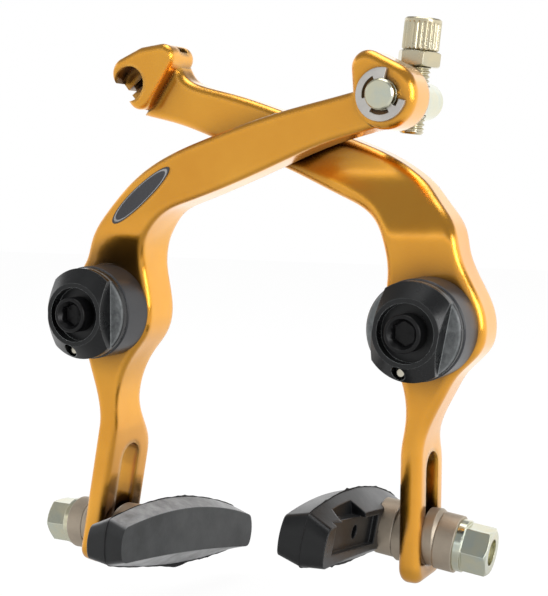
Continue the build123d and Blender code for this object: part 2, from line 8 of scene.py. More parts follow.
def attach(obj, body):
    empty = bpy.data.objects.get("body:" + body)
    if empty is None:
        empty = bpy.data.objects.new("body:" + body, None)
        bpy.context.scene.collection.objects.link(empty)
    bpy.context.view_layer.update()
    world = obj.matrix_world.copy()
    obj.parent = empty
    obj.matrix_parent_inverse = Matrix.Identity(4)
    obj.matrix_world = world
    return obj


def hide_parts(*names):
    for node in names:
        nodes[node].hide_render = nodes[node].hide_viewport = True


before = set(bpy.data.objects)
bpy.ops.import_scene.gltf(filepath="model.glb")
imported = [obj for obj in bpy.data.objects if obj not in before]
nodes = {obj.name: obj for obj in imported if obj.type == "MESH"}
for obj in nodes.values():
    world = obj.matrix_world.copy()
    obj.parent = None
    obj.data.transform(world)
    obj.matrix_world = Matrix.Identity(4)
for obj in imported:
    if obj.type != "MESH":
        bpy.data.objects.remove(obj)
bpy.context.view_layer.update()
sides = ((-1, "left_"), (1, "right_"))

# Camera
camera = {
    "place": (0.1438, -0.2806, 0.0307),
    "aim": (0.00343, 0.0, 0.00486),
    "roll": 0.42,
    "lens": 81.06,
    "sensor": 36.0,
}


def addCamera(facts):
    data = bpy.data.cameras.new("camera")
    data.lens = facts["lens"]
    data.sensor_fit = "VERTICAL"
    data.sensor_height = facts["sensor"]
    data.clip_start = 0.01
    data.clip_end = 20
    cam = bpy.data.objects.new("camera", data)
    place = Vector(facts["place"])
    look = (Vector(facts["aim"]) - place).to_track_quat("-Z", "Y").to_matrix().to_4x4()
    cam.matrix_world = Matrix.Translation(place) @ look @ Matrix.Rotation(radians(facts["roll"]), 4, "Z")
    bpy.context.scene.collection.objects.link(cam)
    bpy.context.scene.camera = cam


addCamera(camera)
print("camera placed")


# Node helpers
class Wires:
    # Short ways to add nodes to one tree and join them.

    def __init__(self, tree):
        self.tree = tree
        self.tree.nodes.clear()

    def add(self, kind, **settings):
        node = self.tree.nodes.new(kind)
        for key, value in settings.items():
            setattr(node, key, value)
        return node

    def join(self, source, target):
        self.tree.links.new(source, target)

    def put(self, socket, value):
        if hasattr(value, "is_output"):
            self.join(value, socket)
        else:
            socket.default_value = value

    def math(self, operation, a, b=0.0):
        node = self.add("ShaderNodeMath", operation=operation)
        self.put(node.inputs[0], a)
        self.put(node.inputs[1], b)
        return node.outputs[0]

    def mixColour(self, factor, a, b):
        node = self.add("ShaderNodeMix", data_type="RGBA")
        self.put(node.inputs[0], factor)
        self.put(node.inputs[6], a)
        self.put(node.inputs[7], b)
        return node.outputs[2]

    def ramp(self, value, low, high, start=0.0, end=1.0):
        node = self.add("ShaderNodeMapRange", clamp=True)
        for socket, given in zip(node.inputs, (value, low, high, start, end)):
            self.put(socket, given)
        return node.outputs[0]

    def noise(self, vector, scale, detail=2.0, rough=0.5):
        node = self.add("ShaderNodeTexNoise")
        self.put(node.inputs["Vector"], vector)
        self.put(node.inputs["Scale"], scale)
        self.put(node.inputs["Detail"], detail)
        self.put(node.inputs["Roughness"], rough)
        return node.outputs["Fac"]

    def objectPoint(self):
        return self.add("ShaderNodeTexCoord").outputs["Object"]

    def parts(self, vector):
        # The X, Y and Z of a vector.
        node = self.add("ShaderNodeSeparateXYZ")
        self.join(vector, node.inputs[0])
        return node.outputs

    def fromAxis(self, vector):
        # How far a point lies from the Y axis.
        flat = self.add("ShaderNodeVectorMath", operation="MULTIPLY")
        self.join(vector, flat.inputs[0])
        flat.inputs[1].default_value = (1, 0, 1)
        reach = self.add("ShaderNodeVectorMath", operation="LENGTH")
        self.join(flat.outputs[0], reach.inputs[0])
        return reach.outputs["Value"]

    def mixShader(self, factor, a, b):
        node = self.add("ShaderNodeMixShader")
        for socket, given in zip(node.inputs, (factor, a, b)):
            self.join(given, socket)
        return node.outputs[0]

    def group(self, tree, **values):
        node = self.add("ShaderNodeGroup", node_tree=tree)
        for key, value in values.items():
            self.put(node.inputs[key], value)
        return node


def newGroup(name, takes, gives):
    tree = bpy.data.node_groups.new(name, "ShaderNodeTree")
    for label, kind, value in takes:
        made = tree.interface.new_socket(label, in_out="INPUT", socket_type=kind)
        if value is not None:
            made.default_value = value
    for label, kind in gives:
        tree.interface.new_socket(label, in_out="OUTPUT", socket_type=kind)
    wires = Wires(tree)
    start = wires.add("NodeGroupInput")
    end = wires.add("NodeGroupOutput")
    return tree, wires, start.outputs, end.inputs


floatKind, vectorKind = "NodeSocketFloat", "NodeSocketVector"
fullTurn = 6.2832    # radians

# Edges painted paler, a painted highlight with some rubbed wear: the mask is how far a rounded normal leans from
# the true one, and the rounded normal is given out too
edgeGroup, w, given, out = newGroup(
    "edgeLight",
    (("Radius", floatKind, 0.0004), ("Start", floatKind, 0.02), ("End", floatKind, 0.25)),
    (("Mask", floatKind), ("Normal", vectorKind)),
)
rounded = w.add("ShaderNodeBevel", samples=6)
w.join(given["Radius"], rounded.inputs["Radius"])
trueNormal = w.add("ShaderNodeNewGeometry").outputs["Normal"]
dotted = w.add("ShaderNodeVectorMath", operation="DOT_PRODUCT")
w.join(rounded.outputs[0], dotted.inputs[0])
w.join(trueNormal, dotted.inputs[1])
lean = w.math("SUBTRACT", 1.0, dotted.outputs["Value"])
w.join(w.ramp(lean, given["Start"], given["End"]), out["Mask"])
w.join(rounded.outputs[0], out["Normal"])

# Soft patches that vary the colour or the gloss of a surface
mottleGroup, w, given, out = newGroup(
    "mottle",
    (("Scale", floatKind, 60.0), ("Low", floatKind, 0.35), ("High", floatKind, 0.65)),
    (("Value", floatKind),),
)
patches = w.noise(w.objectPoint(), given["Scale"], 4.0, 0.6)
w.join(w.ramp(patches, given["Low"], given["High"]), out["Value"])

# Rings left by turning, about an axis along Y through a centre: half of one plus the sine of the turns
# that the distance from that axis holds, one to each pitch
ringGroup, w, given, out = newGroup(
    "turnedRings",
    (("Centre", vectorKind, None), ("Pitch", floatKind, 0.00025)),
    (("Height", floatKind),),
)
shift = w.add("ShaderNodeVectorMath", operation="SUBTRACT")
w.join(w.objectPoint(), shift.inputs[0])
w.join(given["Centre"], shift.inputs[1])
turns = w.math("DIVIDE", w.fromAxis(shift.outputs[0]), given["Pitch"])
wave = w.math("SINE", w.math("MULTIPLY", turns, fullTurn))
w.join(w.math("ADD", w.math("MULTIPLY", wave, 0.5), 0.5), out["Height"])


def newMaterial(name):
    material = bpy.data.materials.new(name)
    material.use_nodes = True
    wires = Wires(material.node_tree)
    shader = wires.add("ShaderNodeBsdfPrincipled")
    end = wires.add("ShaderNodeOutputMaterial")
    wires.join(shader.outputs[0], end.inputs[0])
    return material, wires, shader.inputs


def bump(wires, height, distance, strength=1.0, normal=None):
    node = wires.add("ShaderNodeBump")
    node.inputs["Strength"].default_value = strength
    node.inputs["Distance"].default_value = distance
    wires.put(node.inputs["Height"], height)
    if normal is not None:
        wires.join(normal, node.inputs["Normal"])
    return node.outputs[0]


def linear(red, green, blue):
    # Linear colour from the 0 to 255 values that a screen shows, by the screen's own curve.
    shown = [v / 255 for v in (red, green, blue)]
    return tuple(((v + 0.055) / 1.055) ** 2.4 if v > 10 / 255 else v / 12.92 for v in shown) + (1.0,)


def edgeOf(w, facts):
    return w.group(edgeGroup, Radius=facts["edge"], Start=facts["edgeStart"], End=facts["edgeEnd"])


def patchesOf(w, facts):
    return w.group(mottleGroup, Scale=facts["patches"], **patchSpread).outputs[0]


def rubbedAndHighlit(w, edge, facts, body, colour):
    # The body's colour, moved towards another along its edges: a painted highlight, with some rubbed wear.
    return w.mixColour(w.math("MULTIPLY", edge.outputs["Mask"], facts["edgeShare"]), body, linear(*colour))


def roughOf(w, patch, facts):
    return w.ramp(patch, 0, 1, facts["rough"], facts["rough"] + facts["roughMore"])


def grainOf(w, edge, facts, detail, rough=0.5):
    # A fine uneven surface on top of the rounded edges.
    grain = w.noise(w.objectPoint(), facts["grain"], detail, rough)
    return bump(w, grain, facts["grainHeight"], facts["grainStrength"], edge.outputs["Normal"])


# Finishes
patchSpread = {"Low": 0.3, "High": 0.7}
goldFinish = {
    "colour": (232, 166, 56), "deep": (216, 144, 38), "edgeHighlightAndWear": (246, 196, 100), "paintedShadeColour": (88, 60, 25),
    "edge": 0.0021, "edgeStart": 0.03, "edgeEnd": 0.35, "edgeShare": 0.6,
    "patches": 45.0, "deepShare": 0.6, "rough": 0.17, "roughMore": 0.05,
    "shadeAO": 0.009, "shadeAOFull": 0.42, "shadeAOClear": 0.94, "film": 0.5, "filmRough": 0.08,
    "waves": 60.0, "waveHeight": 0.0006, "peel": 420.0, "peelHeight": 0.00002, "peelStrength": 0.6,
}


def makeGold(facts):
    # Anodised and polished: metal under a thin clear film, with painted shade, dark brown, deep in recesses.
    material, w, shader = newMaterial("goldAnodised")
    edge, patch = edgeOf(w, facts), patchesOf(w, facts)
    deepened = w.math("MULTIPLY", patch, facts["deepShare"])
    body = w.mixColour(deepened, linear(*facts["colour"]), linear(*facts["deep"]))
    # Painted shade: the colour goes dark brown where ambient occlusion finds the surface shut in.
    shadeAO = w.add("ShaderNodeAmbientOcclusion", samples=8)
    shadeAO.inputs["Distance"].default_value = facts["shadeAO"]
    paintedShadeMask = w.ramp(shadeAO.outputs["AO"], facts["shadeAOFull"], facts["shadeAOClear"], 1.0, 0.0)
    # Painted highlight along the edges, with some rubbed wear.
    wornAndHighlit = rubbedAndHighlit(w, edge, facts, body, facts["edgeHighlightAndWear"])
    w.put(shader["Base Color"], w.mixColour(paintedShadeMask, wornAndHighlit, linear(*facts["paintedShadeColour"])))
    shader["Metallic"].default_value = 1.0
    shader["Coat Weight"].default_value = facts["film"]
    shader["Coat Roughness"].default_value = facts["filmRough"]
    w.put(shader["Roughness"], roughOf(w, patch, facts))
    polished = w.noise(w.objectPoint(), facts["waves"], 1.0)
    wavy = bump(w, polished, facts["waveHeight"], 1.0, edge.outputs["Normal"])
    peel = w.noise(w.objectPoint(), facts["peel"], 2.0)
    w.put(shader["Normal"], bump(w, peel, facts["peelHeight"], facts["peelStrength"], wavy))
    return material


# What all bright metals share, then each one's own values
metalSurface = {
    "edgeHighlightAndWear": (235, 232, 222), "edgeStart": 0.03, "edgeEnd": 0.3, "edgeShare": 0.6,
    "patches": 160.0, "roughMore": 0.1, "grainHeight": 0.00003, "grainStrength": 0.5,
}
metalFinishes = {
    "zinc": {"colour": (192, 200, 190), "tint": (214, 208, 178), "rough": 0.17, "edge": 0.0003, "grain": 900.0},
    "clip": {"colour": (188, 185, 181), "tint": (212, 209, 204), "rough": 0.38, "edge": 0.0003, "grain": 1400.0},
    "plated": {"colour": (186, 182, 162), "tint": (204, 192, 160), "rough": 0.22, "edge": 0.0003, "grain": 900.0},
    "washer": {"colour": (176, 164, 148), "tint": (196, 183, 165), "rough": 0.5, "edge": 0.0003, "grain": 1600.0},
    "wire": {"colour": (196, 192, 180), "tint": (214, 208, 190), "rough": 0.28, "edge": 0.0002, "grain": 900.0},
    "bronze": {"colour": (170, 140, 90), "tint": (190, 158, 104), "rough": 0.4, "edge": 0.0002, "grain": 900.0},
}


def makeMetal(name, facts):
    material, w, shader = newMaterial(name)
    edge, patch = edgeOf(w, facts), patchesOf(w, facts)
    body = w.mixColour(patch, linear(*facts["colour"]), linear(*facts["tint"]))
    # Painted highlight along the edges, with some rubbed wear.
    w.put(shader["Base Color"], rubbedAndHighlit(w, edge, facts, body, facts["edgeHighlightAndWear"]))
    shader["Metallic"].default_value = 1.0
    w.put(shader["Roughness"], roughOf(w, patch, facts))
    w.put(shader["Normal"], grainOf(w, edge, facts, 3.0))
    return material


# The same for the dark pieces
darkSurface = {
    "edgeStart": 0.04, "edgeEnd": 0.3, "edgeShare": 0.75, "patches": 120.0, "patchShare": 0.5, "patchLift": 1.5,
    "roughMore": 0.08, "grain": 1500.0, "grainHeight": 0.00002, "grainStrength": 0.5,
}
# line is the colour along the edges: a painted highlight, with some rubbed wear.
darkFinishes = {
    "cover": {
        "colour": (44, 45, 48), "line": (108, 110, 112),
        "rough": 0.32, "edge": 0.0002, "metal": 0.0, "gloss": 0.35,
    },
    "bolt": {
        "colour": (13, 13, 14), "line": (92, 92, 94),
        "rough": 0.3, "edge": 0.0002, "metal": 0.1, "gloss": 0.25,
    },
    "flash": {
        "colour": (28, 28, 29), "line": (44, 44, 45),
        "rough": 0.7, "edge": 0.0001, "metal": 0.0, "gloss": 0.3,
    },
}
capFinish = {
    "colour": (20, 21, 22), "line": (160, 164, 164), "rough": 0.24, "edge": 0.0003, "metal": 0.1, "gloss": 0.35,
    "disc": (86, 89, 90), "discPale": (128, 131, 132), "discRough": 0.5,
    "discAt": {-1: -0.0116, 1: -0.0104}, "discNear": 0.0002, "discFar": 0.0004,
    "streaks": 700.0, "streakLow": 0.3, "streakHigh": 0.75,
    "pivot": 0.042, "ringPitch": 0.0003, "ringHeight": 0.000008, "ringStrength": 0.7,
}


def makeDark(name, facts, side=None):
    # A dark piece. A cap, which has a side, also gets turned rings and a paler disc behind its flats.
    material, w, shader = newMaterial(name)
    edge, patch = edgeOf(w, facts), patchesOf(w, facts)
    low = linear(*facts["colour"])
    lifted = tuple(v * facts["patchLift"] for v in low[:3]) + (1.0,)
    body = w.mixColour(w.math("MULTIPLY", patch, facts["patchShare"]), low, lifted)
    rough = roughOf(w, patch, facts)
    normal = grainOf(w, edge, facts, 2.0)
    if side is not None:
        depth = w.parts(w.objectPoint())[1]
        off = w.math("ABSOLUTE", w.math("SUBTRACT", depth, facts["discAt"][side]))
        onDisc = w.ramp(off, facts["discNear"], facts["discFar"], 1.0, 0.0)
        scratches = w.noise(w.objectPoint(), facts["streaks"], 3.0, 0.7)
        streak = w.ramp(scratches, facts["streakLow"], facts["streakHigh"])
        disc = w.mixColour(streak, linear(*facts["disc"]), linear(*facts["discPale"]))
        body = w.mixColour(onDisc, body, disc)
        rough = w.math("MAXIMUM", rough, w.math("MULTIPLY", onDisc, facts["discRough"]))
        centre = (side * facts["pivot"], 0, 0)
        rings = w.group(ringGroup, Centre=centre, Pitch=facts["ringPitch"]).outputs[0]
        normal = bump(w, rings, facts["ringHeight"], facts["ringStrength"], normal)
    # Painted highlight along the edges in the line colour, with some rubbed wear.
    w.put(shader["Base Color"], rubbedAndHighlit(w, edge, facts, body, facts["line"]))
    shader["Metallic"].default_value = facts["metal"]
    shader["Specular IOR Level"].default_value = facts["gloss"]
    w.put(shader["Roughness"], rough)
    w.put(shader["Normal"], normal)
    return material


plate = {
    "centre": (-0.0297, 0.0285), "length": 0.0106, "width": 0.002, "angle": 39.0,
    "colour": (62, 62, 65), "line": (150, 150, 150), "rough": 0.35, "gloss": 0.3,
    "rimAt": 0.9, "rimNear": 0.02, "rimFar": 0.05,
}


def makeOval(facts):
    # The distance counts in ellipses of the plate's own shape, one being its edge, and the rim lies at rimAt.
    material, w, shader = newMaterial("ovalPlate")
    spot = w.add("ShaderNodeMapping", vector_type="TEXTURE")
    w.join(w.objectPoint(), spot.inputs["Vector"])
    spot.inputs["Location"].default_value = (facts["centre"][0], 0, facts["centre"][1])
    spot.inputs["Rotation"].default_value = (0, -radians(facts["angle"]), 0)
    spot.inputs["Scale"].default_value = (facts["length"], 1, facts["width"])
    off = w.math("ABSOLUTE", w.math("SUBTRACT", w.fromAxis(spot.outputs[0]), facts["rimAt"]))
    rim = w.ramp(off, facts["rimNear"], facts["rimFar"], 1.0, 0.0)
    w.put(shader["Base Color"], w.mixColour(rim, linear(*facts["colour"]), linear(*facts["line"])))
    shader["Roughness"].default_value = facts["rough"]
    shader["Specular IOR Level"].default_value = facts["gloss"]
    return material


# What both pads share, then each one's own values: the left one is greyer and has a mottled painted highlight on
# the faces turned up and down
rubberSurface = {
    "edge": 0.0005, "edgeStart": 0.02, "edgeEnd": 0.3, "edgeShare": 0.6, "patches": 90.0, "roughMore": 0.14,
    "gloss": 0.35, "sheenRough": 0.35, "grain": 1500.0, "grainHeight": 0.00004, "grainStrength": 0.6,
    "litSlopeColour": (168, 170, 172), "slopeFrom": 0.3, "slopeTo": 0.8,
    "litMottleScale": 260.0, "litMottleLow": 0.3, "litMottleHigh": 0.7, "litMottleLeast": 0.35,
    "endShadeColour": (14, 15, 16), "endFrom": 0.35, "endTo": 0.75, "endShadeShare": 0.85,
}
rubberFinishes = {
    "left_rubber": {
        "colour": (44, 46, 47), "bloom": (78, 80, 81), "edgeHighlightAndWear": (104, 106, 106),
        "rough": 0.42, "sheen": 0.35, "litSlopeShare": 0.95,
    },
    "right_rubber": {
        "colour": (10, 11, 13), "bloom": (24, 26, 28), "edgeHighlightAndWear": (62, 64, 66),
        "rough": 0.26, "sheen": 0.05, "litSlopeShare": 0.0,
    },
}


def makeRubber(name, facts):
    # The slopes above and below a pad's face get a mottled painted highlight, and its two ends get painted shade.
    material, w, shader = newMaterial(name)
    edge, patch = edgeOf(w, facts), patchesOf(w, facts)
    body = w.mixColour(patch, linear(*facts["colour"]), linear(*facts["bloom"]))
    facing = w.parts(w.add("ShaderNodeTexCoord").outputs["Normal"])
    # Painted highlight: faces turned up and down are moved towards a pale grey, in mottled patches.
    litSlope = w.ramp(w.math("ABSOLUTE", facing[2]), facts["slopeFrom"], facts["slopeTo"], 0.0, facts["litSlopeShare"])
    litNoise = w.noise(w.objectPoint(), facts["litMottleScale"], 4.0, 0.65)
    litMottle = w.ramp(litNoise, facts["litMottleLow"], facts["litMottleHigh"], facts["litMottleLeast"], 1.0)
    body = w.mixColour(w.math("MULTIPLY", litSlope, litMottle), body, linear(*facts["litSlopeColour"]))
    # Painted shade: the two ends, the faces turned along Y, are moved towards near black.
    end = w.ramp(w.math("ABSOLUTE", facing[1]), facts["endFrom"], facts["endTo"], 0.0, facts["endShadeShare"])
    body = w.mixColour(end, body, linear(*facts["endShadeColour"]))
    # Painted highlight along the edges, with some rubbed wear.
    w.put(shader["Base Color"], rubbedAndHighlit(w, edge, facts, body, facts["edgeHighlightAndWear"]))
    w.put(shader["Roughness"], roughOf(w, patch, facts))
    shader["Specular IOR Level"].default_value = facts["gloss"]
    shader["Sheen Weight"].default_value = facts["sheen"]
    shader["Sheen Roughness"].default_value = facts["sheenRough"]
    w.put(shader["Normal"], grainOf(w, edge, facts, 4.0, 0.6))
    return material


finishes = {"gold": makeGold(goldFinish), "plate": makeOval(plate)}
for name, facts in rubberFinishes.items():
    finishes[name] = makeRubber(name, {**rubberSurface, **facts})
for name, facts in metalFinishes.items():
    finishes[name] = makeMetal(name, {**metalSurface, **facts})
for name, facts in darkFinishes.items():
    finishes[name] = makeDark(name, {**darkSurface, **facts})
for side, word in sides:
    finishes[word + "cap"] = makeDark(word + "cap", {**darkSurface, **capFinish}, side)

wears = {
    "front_arm": "gold", "rear_arm": "gold", "oval_plate": "plate", "anchor_pin": "zinc",
    "e_clip": "clip", "barrel_adjuster": "plated", "lock_nut": "plated",
}
for side, word in sides:
    for part, finish in (
        ("pivot_bolt", "bolt"), ("spring_adjuster", word + "cap"), ("spring_cover", "cover"),
        ("pivot_bush", "bronze"), ("return_spring", "wire"), ("inner_domed_washer", "washer"),
        ("inner_dished_washer", "washer"), ("outer_domed_washer", "washer"),
        ("outer_dished_washer", "washer"), ("shoe_nut", "zinc"), ("shoe_stud", "zinc"),
        ("shoe_pad", word + "rubber"),
    ):
        wears[word + part] = finish
for node, finish in wears.items():
    piece = nodes[node]
    piece.data.materials.clear()
    piece.data.materials.append(finishes[finish])
print("finishes on", len(wears), "nodes")

# Surfaces
mm = 0.001
hair = 1e-6    # what two lengths in mm may differ by and still be the same
sharpFrom = 38.0    # degrees between two faces from which their edge stays sharp


def gridMesh(name, points, closedRows=False):
    # Mesh over a grid of points (rows, columns, 3) whose columns close on themselves.
    # Row i and column j give a corner, and each cell between two rows is one four-sided face.
    # The last row joins the first where closedRows is set, and otherwise a pole closes each end.
    rows, columns = points.shape[:2]
    corners = points.reshape(-1, 3)
    index = np.arange(rows * columns).reshape(rows, columns)
    upper = index if closedRows else index[:-1]
    lower = np.roll(index, -1, 0) if closedRows else index[1:]
    quads = np.stack([upper, np.roll(upper, -1, 1), np.roll(lower, -1, 1), lower], -1).reshape(-1, 4)
    faces = quads.tolist()
    if not closedRows:
        corners = np.vstack([corners, points[0].mean(0), points[-1].mean(0)])
        first, last = rows * columns, rows * columns + 1
        ring = np.arange(columns)
        faces += np.stack([np.roll(ring, -1), ring, np.full(columns, first)], -1).tolist()
        ring = ring + (rows - 1) * columns
        faces += np.stack([ring, np.roll(ring, -1), np.full(columns, last)], -1).tolist()
    mesh = bpy.data.meshes.new(name)
    mesh.from_pydata(corners.tolist(), [], faces)
    mesh.validate()
    mesh.polygons.foreach_set("use_smooth", np.ones(len(mesh.polygons), bool))
    mesh.update()
    return mesh


def addPiece(name, mesh, finish, body):
    piece = bpy.data.objects.new(name, mesh)
    bpy.context.scene.collection.objects.link(piece)
    outward = bmesh.new()
    outward.from_mesh(mesh)
    bmesh.ops.recalc_face_normals(outward, faces=outward.faces)
    outward.to_mesh(mesh)
    outward.free()
    mesh.set_sharp_from_angle(angle=radians(sharpFrom))
    mesh.materials.append(finishes[finish])
    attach(piece, body)
    return piece


def placed(points, origin, axis, across):
    # Points given across, aside and along an axis, turned and moved to their place.
    axis = Vector(axis).normalized()
    across = (Vector(across) - axis * axis.dot(Vector(across))).normalized()
    turn = np.array([across, axis.cross(across), axis]).T
    return points @ turn.T + np.array(origin)


def threadDip(radius, height, angle, facts, start, end):
    # Depth of a thread below its crest, on the rows at the crest's radius: a triangle wave of the height
    # over the pitch less the turn, cut flat at crest and root, and faded out over half a pitch at both ends.
    phase = (height / facts["pitch"] - angle / (2 * np.pi)) % 1.0
    wave = np.clip(np.abs(2 * phase - 1) * 1.5 - 0.25, 0, 1)
    fade = np.clip(np.minimum(height - start, end - height) / (0.5 * facts["pitch"]), 0, 1)
    return facts["threadDepth"] * wave * fade * (np.abs(radius - facts["thread"]) < hair)


def profileRows(stops, steps):
    # Columns of radius and height between the stops of a profile, each stretch in as many rows as steps says.
    rows = [np.array(stops[:1], float)]
    for start, end, count in zip(stops[:-1], stops[1:], steps):
        part = np.linspace(0, 1, count + 1)[1:, None]
        rows.append(np.array(start) * (1 - part) + np.array(end) * part)
    rows = np.vstack(rows)
    return rows[:, :1], rows[:, 1:]


def fullCircle(columns):
    return np.linspace(0, 2 * np.pi, columns, endpoint=False)[None, :]


def turned(around, angle, height):
    # The points of a turned piece, in metres, at each row's height and each column's angle.
    return np.stack([around * np.cos(angle), around * np.sin(angle), height + 0 * angle], -1) * mm


# Barrel adjuster, in mm
barrel = {
    "origin": (32.8, 13.0, 51.0), "lean": 6.0, "below": 7.8, "thread": 2.95, "bore": 1.6, "lead": 0.6,
    "knurlFrom": 11.3, "knurlHeight": 7.3, "knurl": 4.3, "knurlDepth": 0.42, "knurlFade": 0.3, "teeth": 22,
    "collar": 0.9, "chamfer": 0.35, "seat": 2.6, "seatDepth": 6.0, "lip": 0.2,
    "pitch": 1.0, "threadDepth": 0.5, "threadStop": 0.3, "columns": 176,
    "rowsBelow": (2, 2), "rowsPerPitch": 8, "rowsAbove": (2, 2, 24, 3, 2, 1, 1, 2, 1),
}


def barrelMesh(facts):
    # A profile of radius and height turned round the barrel's axis. Along the thread the radius
    # dips by threadDip, and along the knurl by a rounded tooth wave: depth times
    # (1 less the root of (1 - cos(teeth angle)) / 2), faded out under the collar.
    top = facts["knurlFrom"] + facts["knurlHeight"]
    collar = top - facts["collar"]
    edge, lip, start = facts["chamfer"], facts["lip"], facts["lead"] - facts["below"]
    threadRows = int((facts["knurlFrom"] - start) / facts["pitch"] * facts["rowsPerPitch"])
    stops = (
        (facts["bore"], -facts["below"]), (facts["thread"] - facts["lead"], -facts["below"]),
        (facts["thread"], start), (facts["thread"], facts["knurlFrom"]),
        (facts["knurl"] - edge, facts["knurlFrom"]), (facts["knurl"], facts["knurlFrom"] + edge),
        (facts["knurl"], collar), (facts["knurl"], top - edge), (facts["knurl"] - edge, top),
        (facts["seat"] + lip, top), (facts["seat"], top - lip), (facts["seat"], top - facts["seatDepth"]),
        (facts["bore"], top - facts["seatDepth"]),
    )
    radius, height = profileRows(stops, (*facts["rowsBelow"], threadRows, *facts["rowsAbove"]))
    angle = fullCircle(facts["columns"])
    dip = threadDip(radius, height, angle, facts, start, facts["knurlFrom"] - facts["threadStop"])
    tooth = np.sqrt((1 - np.cos(facts["teeth"] * angle)) / 2)
    inKnurl = np.clip((collar - height) / facts["knurlFade"], 0, 1)
    inKnurl = inKnurl * (height >= facts["knurlFrom"] + edge - hair) * (radius > facts["knurl"] - hair)
    dip = dip + facts["knurlDepth"] * (1 - tooth) * inKnurl
    lean = radians(facts["lean"])
    origin = np.array(facts["origin"]) * mm
    points = placed(turned(radius - dip, angle, height), origin, (sin(lean), 0, cos(lean)), (1, 0, 0))
    return gridMesh("barrelAdjuster", points, closedRows=True)


piece = addPiece("barrelAdjuster", barrelMesh(barrel), "plated", "barrel")
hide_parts("barrel_adjuster")

# Pivot bolts, in mm
bolt = {
    "pivot": 42.0, "seat": {-1: -1.2, 1: 0.0}, "end": 19.0, "chamfer": 0.6, "thread": 3.0, "axis": 0.01,
    "threadDepth": 0.5, "pitch": 1.0, "threadStop": 0.3, "shank": 3.4,
    "headFrom": 12.4, "head": 4.2, "headTo": 16.9, "round": 0.4, "roundPoints": 5,
    "socket": 2.5, "socketDepth": 3.0, "lead": 0.9, "leadDepth": 1.1, "cone": 0.5, "columns": 144,
    "rowsBelow": (2, 2), "rowsPerPitch": 8, "rowsAbove": (1, 4, 1, 3, 1, 1, 1, 1, 2), "rowsSocket": (4, 4, 3),
}


def boltMesh(side, facts):
    # A profile turned round the bolt's axis, pointing at the viewer. The thread dips by threadDip, and in
    # the socket the radius is the hexagon's: half its width over the cosine of the angle to the next flat.
    start = facts["seat"][side] - facts["end"]
    top, soft, floor = facts["headTo"], facts["round"], facts["headTo"] - facts["socketDepth"]
    bend = np.linspace(0, np.pi / 2, facts["roundPoints"])
    corner = [(facts["head"] - soft + soft * np.cos(t), top - soft + soft * np.sin(t)) for t in bend]
    threadRows = int(-start / facts["pitch"] * facts["rowsPerPitch"])
    stops = (
        (facts["axis"], start), (facts["thread"] - facts["chamfer"], start),
        (facts["thread"], start + facts["chamfer"]), (facts["thread"], 0.0),
        (facts["shank"], 0.0), (facts["shank"], facts["headFrom"]), (facts["head"], facts["headFrom"]), *corner,
        (facts["socket"] + facts["lead"], top), (facts["socket"], top - facts["leadDepth"]),
        (facts["socket"], floor), (facts["axis"], floor - facts["cone"]),
    )
    steps = (*facts["rowsBelow"], threadRows, *facts["rowsAbove"], *facts["rowsSocket"])
    radius, height = profileRows(stops, steps)
    angle = fullCircle(facts["columns"])
    dip = threadDip(radius, height, angle, facts, start + facts["chamfer"], -facts["threadStop"])
    flat = 1 / np.cos((angle + np.pi / 6) % (np.pi / 3) - np.pi / 6)
    inSocket = np.arange(len(radius))[:, None] >= len(radius) - sum(facts["rowsSocket"])
    grow = 1 + (flat - 1) * inSocket * (radius <= facts["socket"] + hair)
    origin = np.array((side * facts["pivot"], facts["seat"][side], 0)) * mm
    points = placed(turned(radius * grow - dip, angle, height), origin, (0, -1, 0), (1, 0, 0))
    return gridMesh(dict(sides)[side] + "threadedBolt", points)


for side, word in sides:
    piece = addPiece(word + "threadedBolt", boltMesh(side, bolt), "bolt", "posts")
    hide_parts(word + "pivot_bolt")

# Pads' flash, in mm and degrees
pad = {
    "pivot": 42.0, "swing": {-1: 10.0, 1: 0.0}, "legMiddle": 4.3, "slotMiddle": 8.4,
    "studDown": {-1: 57.7, 1: 49.3}, "tilt": {-1: 0.6, 1: 7.6}, "yaw": {-1: 4.0, 1: 1.8}, "pitch": 8.7,
    "split": 13.5, "length": 58.0, "offset": 10.0, "bulge": 1.2, "corner": 2.0,
    "high": 8.6, "endHigh": 4.5, "low": -8.8, "endLow": -6.8,
    "arcPoints": 120, "endPoints": 30, "cornerPoints": 7,
}
flash = {
    "thick": 0.12, "stand": 0.22, "uneven": 0.12, "ragged": 0.3, "columns": 8, "seed": 7,
    "turns": (3, 5, 8, 13, 21, 34), "sway": 1.6, "swayLow": -0.9, "swayHigh": 1.3, "tear": 4.0, "tearFrom": 1.4,
    "wander": 0.05, "wanderTurns": 11, "flapAt": 4.35, "flapWide": 0.22, "flap": {-1: 0.9, 1: 0.25},
}


def padPlace(side, facts):
    # Origin of a pad and its three directions: along it, up and towards the rim.
    swing, pitch = radians(facts["swing"][side]), radians(facts["pitch"])
    tilt, yaw = radians(facts["tilt"][side]), radians(facts["yaw"][side])
    inward, up = facts["legMiddle"], -facts["studDown"][side]
    across = inward * cos(swing) + up * sin(swing)
    origin = Vector((side * (facts["pivot"] - across), facts["slotMiddle"], up * cos(swing) - inward * sin(swing)))
    rim = -Vector((side * cos(tilt) * cos(yaw), cos(tilt) * sin(yaw), -sin(tilt)))
    level = rim.cross(Vector((0, 1, 0))).normalized() * -side
    along = (rim.cross(level) * side * cos(pitch) - level * sin(pitch)) * -side
    return origin, along, rim.cross(along), rim


def cutEnds(line, corner):
    # The line less a corner's length at both ends, in as many points.
    cut = corner / np.linalg.norm(np.diff(line, axis=0), axis=1).sum()
    at = np.linspace(cut, 1 - cut, len(line))
    place = np.linspace(0, 1, len(line))
    return np.stack([np.interp(at, place, line[:, k]) for k in (0, 1)], -1)


